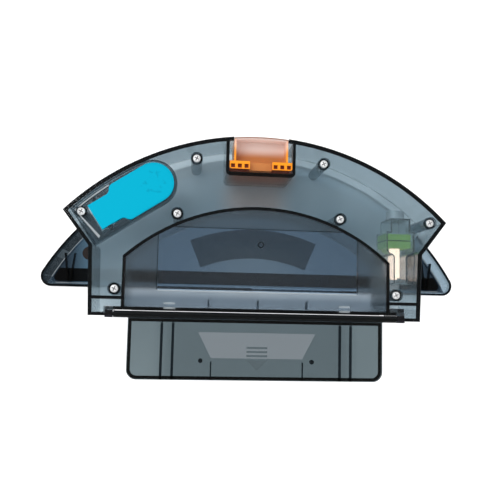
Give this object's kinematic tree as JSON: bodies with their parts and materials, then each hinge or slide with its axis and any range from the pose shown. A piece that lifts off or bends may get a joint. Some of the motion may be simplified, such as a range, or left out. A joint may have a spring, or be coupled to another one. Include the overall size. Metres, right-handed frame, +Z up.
{
  "type": "robot vacuum water tank",
  "caption": "Smoky see-through water tank with dust box for a robot vacuum, with a hinged dust door, rubber filler plug, release latch, pump and clip-on mopping plate.",
  "frame": {"origin": "middle of the bounding box at the underside of the mopping plate", "axes": "+X across the tank to its right seen from above, +Y towards the curved rear, +Z up"},
  "size_m": [0.2854, 0.1544, 0.046],
  "materials": {
    "smoky_shell": "smoky see-through moulding, lightly frosted",
    "smoky_cover": "smoky see-through moulding, frosted with a polished window",
    "door_plastic": "smoky see-through moulding, satin, lightly scuffed",
    "plate_plastic": "smoky see-through moulding, satin",
    "clear_case": "clear moulding",
    "smoky_pin": "satin",
    "seal_rubber": "matt black rubber",
    "cyan_rubber": "satin cyan rubber",
    "grey_rubber": "satin grey rubber",
    "orange_plastic": "glossy orange moulding",
    "screw_steel": "bright plated steel",
    "spring_steel": "bright spring wire",
    "hook_tape": "black hook tape",
    "brown_post": "matt reddish brown moulding",
    "green_plastic": "matt green moulding",
    "motor_metal": "satin beige can",
    "black_plastic": "matt black moulding",
    "contact_brass": "bright plated contact faces"
  },
  "bodies": {
    "tank": {"tank_base": "smoky_shell", "top_cover": "smoky_cover", "cover_gasket": "seal_rubber", "cover_screws": "screw_steel", "plug_pin": "smoky_pin", "latch_spring_left": "spring_steel", "latch_spring_right": "spring_steel", "pump_case": "clear_case", "pump_body": "green_plastic", "pump_diaphragm": "seal_rubber", "pump_valve_cap": "green_plastic", "pump_motor": "motor_metal", "pump_inlet_cap": "grey_rubber", "outlet_nozzle": "seal_rubber", "contact_block": "black_plastic", "contact_pins": "contact_brass"},
    "plug": {"inlet_plug": "cyan_rubber"},
    "latch": {"release_latch": "orange_plastic"},
    "door": {"dust_door": "door_plastic", "door_seal": "seal_rubber"},
    "plate": {"mop_plate": "plate_plastic", "hook_strip": "hook_tape", "clip_post_left": "brown_post", "clip_post_right": "brown_post"}
  },
  "joints": [
    {"name": "door_hinge", "type": "hinge", "parent": "tank", "child": "door", "pos_m": [0, -0.03765, 0.0439], "axis": [1, 0, 0], "range_deg": [0, 90]},
    {"name": "plug_hinge", "type": "hinge", "parent": "tank", "child": "plug", "pos_m": [-0.09832, 0.02405, 0.0433], "axis": [0.5534, -0.8329, 0], "range_deg": [0, 100]},
    {"name": "latch_slide", "type": "slide", "parent": "tank", "child": "latch", "axis": [0, -1, 0], "range_m": [0, 0.002], "stiffness_N_per_m": 400, "springref_m": -0.004, "deforming": ["latch_spring_left", "latch_spring_right"]},
    {"name": "plate_pull", "type": "slide", "parent": "tank", "child": "plate", "axis": [0, 0, -1], "range_m": [0, 0.012]}
  ]
}
